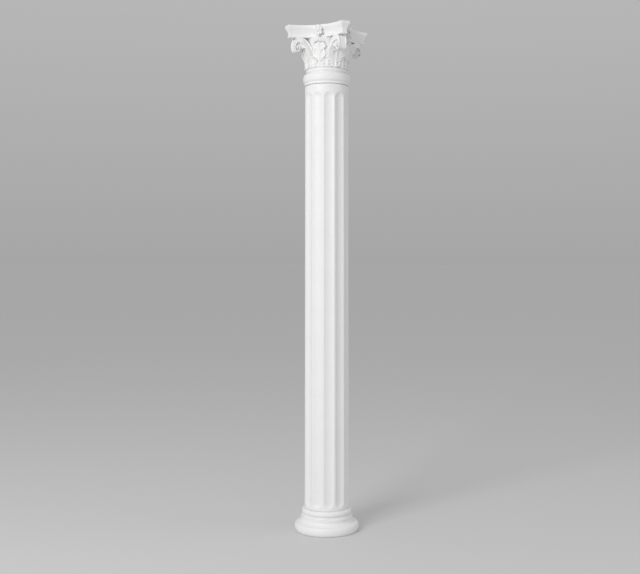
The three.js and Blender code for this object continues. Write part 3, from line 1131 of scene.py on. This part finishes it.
@dataclass(frozen=True)
class Leaf:
    """An acanthus leaf against the bell, cut into lobes, carved, and rolled over at its tip."""

    capital: CapitalFrame
    name: str
    count: int
    turn: float
    width: float
    height: float
    lean: float
    roll: float
    carving: LeafCarving = LeafCarving()
    notch: float = 0.26
    notch_power: float = 1.4
    scallop: float = 0.07
    scallop_level: float = 0.6
    root_share: float = 0.72
    tip_share: float = 0.36
    droop: float = 0.26
    droop_start: float = 0.35
    droop_rise: float = 0.4
    bend: float = 0.7
    roll_turn: float = 165.0
    roll_shrink: float = 0.25
    roll_core: float = 0.3
    stand: float = 0.009
    sunk: float = 0.001
    root_thickness: float = 0.027
    tip_thickness: float = 0.005
    back_edge: float = 0.96
    wall: float = 0.004
    rows: int = 60
    columns: int = 28

    def half_width(self, share: float, on_roll: float) -> float:
        """Half the leaf's width at a share of its length, cut into lobes and leaflets."""
        lobe = share * self.carving.lobes
        wave = (1 + math.cos(lobe * FULL_TURN)) / 2
        leaflet = abs(math.sin((lobe % 1.0) * self.carving.leaflets * math.pi))
        cut = 1 - self.notch * wave**self.notch_power
        cut *= 1 + self.scallop * (leaflet - self.scallop_level)
        swell = lerp(self.root_share, 1.0, math.sin(share * math.pi))
        return self.width / 2 * swell * lerp(1.0, self.tip_share, on_roll**2) * cut

    def _ring(self, share: float) -> Ring:
        """One row over the leaf's face and back."""
        capital = self.capital
        rise = min(share / self.bend, 1.0)
        on_roll = max((share - self.bend) / (1 - self.bend), 0.0)
        angle = math.pi - math.radians(self.roll_turn) * on_roll
        radius_of_roll = self.roll / 2
        core = self.roll_core * radius_of_roll
        shrink = 1 - self.roll_shrink * on_roll
        height = capital.bell_foot - self.sunk + (self.height - radius_of_roll) * rise
        stand = capital.bell_radius(height) + self.stand + self.lean * rise**3
        half = self.half_width(share, on_roll)
        droop = self.droop * half * smoothstep((share - self.droop_start) / self.droop_rise)
        thickness = lerp(self.root_thickness + self.lean * rise, self.tip_thickness, share)

        def place(across: float, relief: float) -> Vector:
            """A point on the row, bent over with the roll at the leaf's tip."""
            radius = max(stand + relief, capital.bore + self.wall)
            up = height
            if on_roll > 0:
                reach = max(radius_of_roll + relief, core) * shrink
                radius = stand + radius_of_roll * shrink + reach * math.cos(angle)
                up = height + reach * math.sin(angle)
            sideways = self.turn + across * half / stand
            return polar(radius, sideways, up - droop * across**2 + capital.lift)

        face = [2 * column - 1 for column in steps(self.columns)]
        front = [place(across, self.carving.height(share, across)) for across in face]
        edge = self.back_edge
        back = [place(across, -thickness) for across in (edge, 0.5, 0.0, -0.5, -edge)]
        return front + back

    def build(self) -> bpy.types.Object:
        """Draws out one leaf and copies it round the bell.

        Returns:
            All leaves of this kind as one piece.
        """
        rings = [self._ring(share) for share in steps(self.rows)]
        leaf = draw_out(self.name, rings, joined=False)
        return join(self.name, copies_round(leaf, self.count))


@dataclass(frozen=True)
class Flower:
    """The flower at the middle of each side of the abacus: petals round a button, one hooded."""

    capital: CapitalFrame
    width: float = 0.046
    height: float = 0.056
    proud: float = 0.016
    root: float = 0.019
    root_size: float = 0.66
    calyx: tuple[Point, ...] = ((-0.006, 0.76), (0.0, 0.72), (0.004, 0.60), (0.007, 0.44))
    calyx_sides: int = 40
    button: float = 0.0072
    button_close: float = 0.96
    button_steps: int = 8
    petals: int = 6
    hood: float = 1.3
    hood_lift: float = 0.1
    hood_drop: float = 0.3
    petal_width: float = 0.0235
    petal_thickness: float = 0.005
    petal_start: float = 0.12
    petal_root: float = 0.55
    petal_round: float = 0.6
    petal_tip: float = 0.02
    petal_low: float = 0.18
    petal_rise: float = 0.72
    petal_crown: float = 0.72
    curl_start: float = 0.8
    curl_drop: float = 0.25
    cup: float = 0.0030
    crease: float = 0.0016
    crease_width: float = 0.25
    sunk: float = 0.003
    back_share: float = 0.9
    petal_rows: int = 18
    petal_columns: int = 10

    def _place(self, across: float, up: float, out: float) -> Vector:
        """A point of the flower: across, up from its centre, and out from the side's middle."""
        capital = self.capital
        middle = capital.lift + capital.abacus_foot + capital.abacus_height / 2
        return Vector((across, -(capital.abacus_half + out), middle + up))

    def _petal_row(self, share: float, hooded: bool) -> tuple[float, float, float]:
        """Where a petal lies at a share of its length.

        Args:
            share: share of its length, from the button outwards.
            hooded: True for the broad petal at the top.

        Returns:
            Its distance from the middle, half its width and how far it stands out.
        """
        length = self.height / 2
        swing = math.sin(share * QUARTER)
        along = length * lerp(self.petal_start, 1.0, swing)
        reach = along / length
        half = self.petal_width / 2 * lerp(self.petal_root, 1.0, swing)
        half *= max(math.cos(share * QUARTER), self.petal_tip) ** self.petal_round
        crown = math.sin(math.pi * min(reach * self.petal_crown, 0.5))
        out = self.petal_low + self.petal_rise * crown
        curl = self.curl_drop * max(reach - self.curl_start, 0.0) / (1 - self.curl_start)
        if hooded:
            half *= self.hood
            out += self.hood_lift
            curl *= self.hood_drop
        return along, half, self.proud * (out - curl)

    def _petal(self, number: int) -> bpy.types.Object:
        """Draws out one petal, cupped, creased down its middle and curled at its tip.

        Args:
            number: its place round the flower, where 0 is the hood at the top.

        Returns:
            The petal.
        """
        angle = QUARTER + FULL_TURN * number / self.petals
        squeeze = self.width / self.height
        rings = []
        for share in steps(self.petal_rows):
            along, half, out = self._petal_row(share, number == 0)
            row = []
            for column in steps(self.petal_columns):
                across = 2 * column - 1
                cupped = self.cup * across**2 - self.crease * ridge(across, self.crease_width)
                row.append((across * half, out + cupped - self.sunk))
            for across in (self.back_share, 0.0, -self.back_share):
                row.append((across * half, out - self.petal_thickness))
            ring = []
            for sideways, outward in row:
                x = along * math.cos(angle) - sideways * math.sin(angle)
                y = along * math.sin(angle) + sideways * math.cos(angle)
                ring.append(self._place(x * squeeze, y, outward))
            rings.append(ring)
        return draw_out("flower_petal", rings, joined=False)

    def _oval(self, width: float, height: float, out: float) -> Ring:
        """An oval ring round the flower's middle, from its half width and half height."""
        turns = [FULL_TURN * index / self.calyx_sides for index in range(self.calyx_sides)]
        return [self._place(width * math.cos(t), height * math.sin(t), out) for t in turns]

    def _heart(self) -> bpy.types.Object:
        """Draws out the calyx behind the petals and the button between them."""
        rings = [
            self._oval(self.width / 2 * size, self.height / 2 * size, out)
            for out, size in ((-self.root, self.root_size), *self.calyx)
        ]
        foot = self.calyx[-1][0]
        for share in steps(self.button_steps):
            radius = self.button * math.cos(share * QUARTER * self.button_close)
            out = foot + (self.proud - foot) * math.sin(share * QUARTER)
            rings.append(self._oval(radius, radius, out))
        return draw_out("flower_heart", rings, joined=False)

    def build(self) -> bpy.types.Object:
        """Makes one flower and copies it to the other sides.

        Returns:
            The four flowers as one piece.
        """
        petals = [self._petal(number) for number in range(self.petals)]
        flower = join("capital_flowers", [self._heart(), *petals])
        return join("capital_flowers", copies_round(flower, CORNERS))


@dataclass(frozen=True)
class Capital:
    """The carved head of the column, cast in one."""

    lower_leaves: int = 8

    def build(self, finish: MouldedWhite) -> None:
        """Makes and dresses the capital's parts.

        Args:
            finish: their finish.
        """
        shared = CapitalFrame(lift=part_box(Node.CAPITAL.value)[0][2])
        lower = Leaf(
            shared,
            "capital_lower_leaves",
            count=self.lower_leaves,
            turn=math.pi / self.lower_leaves,
            width=0.070,
            height=0.048,
            stand=0.011,
            lean=0.001,
            roll=0.006,
            rows=44,
        )
        corner = Leaf(
            shared,
            "capital_corner_leaves",
            count=CORNERS,
            turn=EIGHTH,
            width=0.056,
            height=0.084,
            stand=0.014,
            lean=0.016,
            roll=0.009,
        )
        side = Leaf(
            shared,
            "capital_side_leaves",
            count=CORNERS,
            turn=0.0,
            width=0.068,
            height=0.132,
            lean=0.002,
            roll=0.017,
            rows=76,
        )
        plain = (Bell(shared), Abacus(shared), Volute(shared))
        for part in (*plain, lower, corner, side, Flower(shared)):
            finish.dress(part.build(), Node.CAPITAL)


@dataclass(frozen=True)
class SoftLight:
    """A square, soft light that looks at the middle of the column.

    Its azimuth is in degrees from -Y towards +X, its elevation in degrees above level.
    """

    name: str
    azimuth: float
    elevation: float
    reach: float
    size: float
    power: float
    aim: float = 1.25

    def hang(self) -> None:
        """Adds the light to the scene."""
        across = math.radians(self.azimuth)
        up = math.radians(self.elevation)
        level = math.cos(up)
        way = Vector((math.sin(across) * level, -math.cos(across) * level, math.sin(up)))
        place = Vector((0, 0, self.aim)) + way * self.reach
        bpy.ops.object.light_add(type="AREA", location=place)
        light = bpy.context.object
        light.name = self.name
        light.data.size = self.size
        light.data.energy = self.power
        light.rotation_euler = way.to_track_quat("Z", "Y").to_euler()


@dataclass(frozen=True)
class Studio:
    """Plain pale floor, soft light from the upper left, a white sky and the camera."""

    distance: float = 4.945
    azimuth: float = 20.0
    eye_height: float = 1.3548
    lens: float = 55.6
    film_width: float = 36.0
    shift: Point = (-0.0105, -0.045)
    floor_tone: float = 0.686
    floor_roughness: float = 0.9
    floor_size: float = 400.0
    horizon: float = 0.383
    zenith: float = 0.56
    zenith_from: float = 0.5
    key: SoftLight = SoftLight(
        "studio_key", azimuth=-14.0, elevation=20.0, reach=7.0, size=3.0, power=230.0
    )
    fill: SoftLight = SoftLight(
        "studio_fill", azimuth=95.0, elevation=10.0, reach=4.5, size=3.0, power=16.0
    )

    def _floor(self) -> None:
        """Lays the wide, pale floor."""
        clear_selection()
        bpy.ops.mesh.primitive_plane_add(size=self.floor_size, location=(0, 0, 0))
        floor = bpy.context.object
        floor.name = "studio_floor"
        material = bpy.data.materials.new("studio_floor")
        material.use_nodes = True
        shader = material.node_tree.nodes["Principled BSDF"]
        shader.inputs["Base Color"].default_value = (*[self.floor_tone] * 3, 1)
        shader.inputs["Roughness"].default_value = self.floor_roughness
        floor.data.materials.append(material)

    def _sky(self) -> None:
        """Sets a white sky that is as bright as the floor at the horizon and brighter above."""
        world = bpy.data.worlds.new("studio_sky")
        world.use_nodes = True
        tree = world.node_tree
        place = tree.nodes.new("ShaderNodeTexCoord")
        axes = tree.nodes.new("ShaderNodeSeparateXYZ")
        rise = tree.nodes.new("ShaderNodeMapRange")
        rise.inputs["From Max"].default_value = self.zenith_from
        rise.inputs["To Min"].default_value = self.horizon
        rise.inputs["To Max"].default_value = self.zenith
        sky = tree.nodes["Background"]
        sky.inputs["Color"].default_value = (1.0, 1.0, 1.0, 1)
        tree.links.new(place.outputs["Generated"], axes.inputs["Vector"])
        tree.links.new(axes.outputs["Z"], rise.inputs["Value"])
        tree.links.new(rise.outputs["Result"], sky.inputs["Strength"])
        bpy.context.scene.world = world

    def _camera(self) -> None:
        """Sets the level camera at the column's own viewing angle."""
        angle = math.radians(self.azimuth)
        across = self.distance * math.sin(angle)
        back = -self.distance * math.cos(angle)
        place = (across, back, self.eye_height)
        bpy.ops.object.camera_add(location=place, rotation=(QUARTER, 0, angle))
        camera = bpy.context.object
        camera.name = "studio_camera"
        camera.data.lens = self.lens
        camera.data.sensor_width = self.film_width
        camera.data.shift_x, camera.data.shift_y = self.shift
        camera.data.dof.use_dof = False
        bpy.context.scene.camera = camera

    def build(self) -> None:
        """Sets up floor, lights, sky and camera."""
        self._floor()
        self.key.hang()
        self.fill.hang()
        self._sky()
        bpy.context.scene.view_settings.view_transform = "Standard"
        self._camera()


def main() -> None:
    """Builds the studio and the column's three pieces."""
    logging.basicConfig(level=logging.INFO, format="%(message)s")
    finish = MouldedWhite()
    Studio().build()
    for sub_assembly in (ColumnBase(), FlutedShaft(), Capital()):
        sub_assembly.build(finish)


if __name__ == "__main__":
    main()
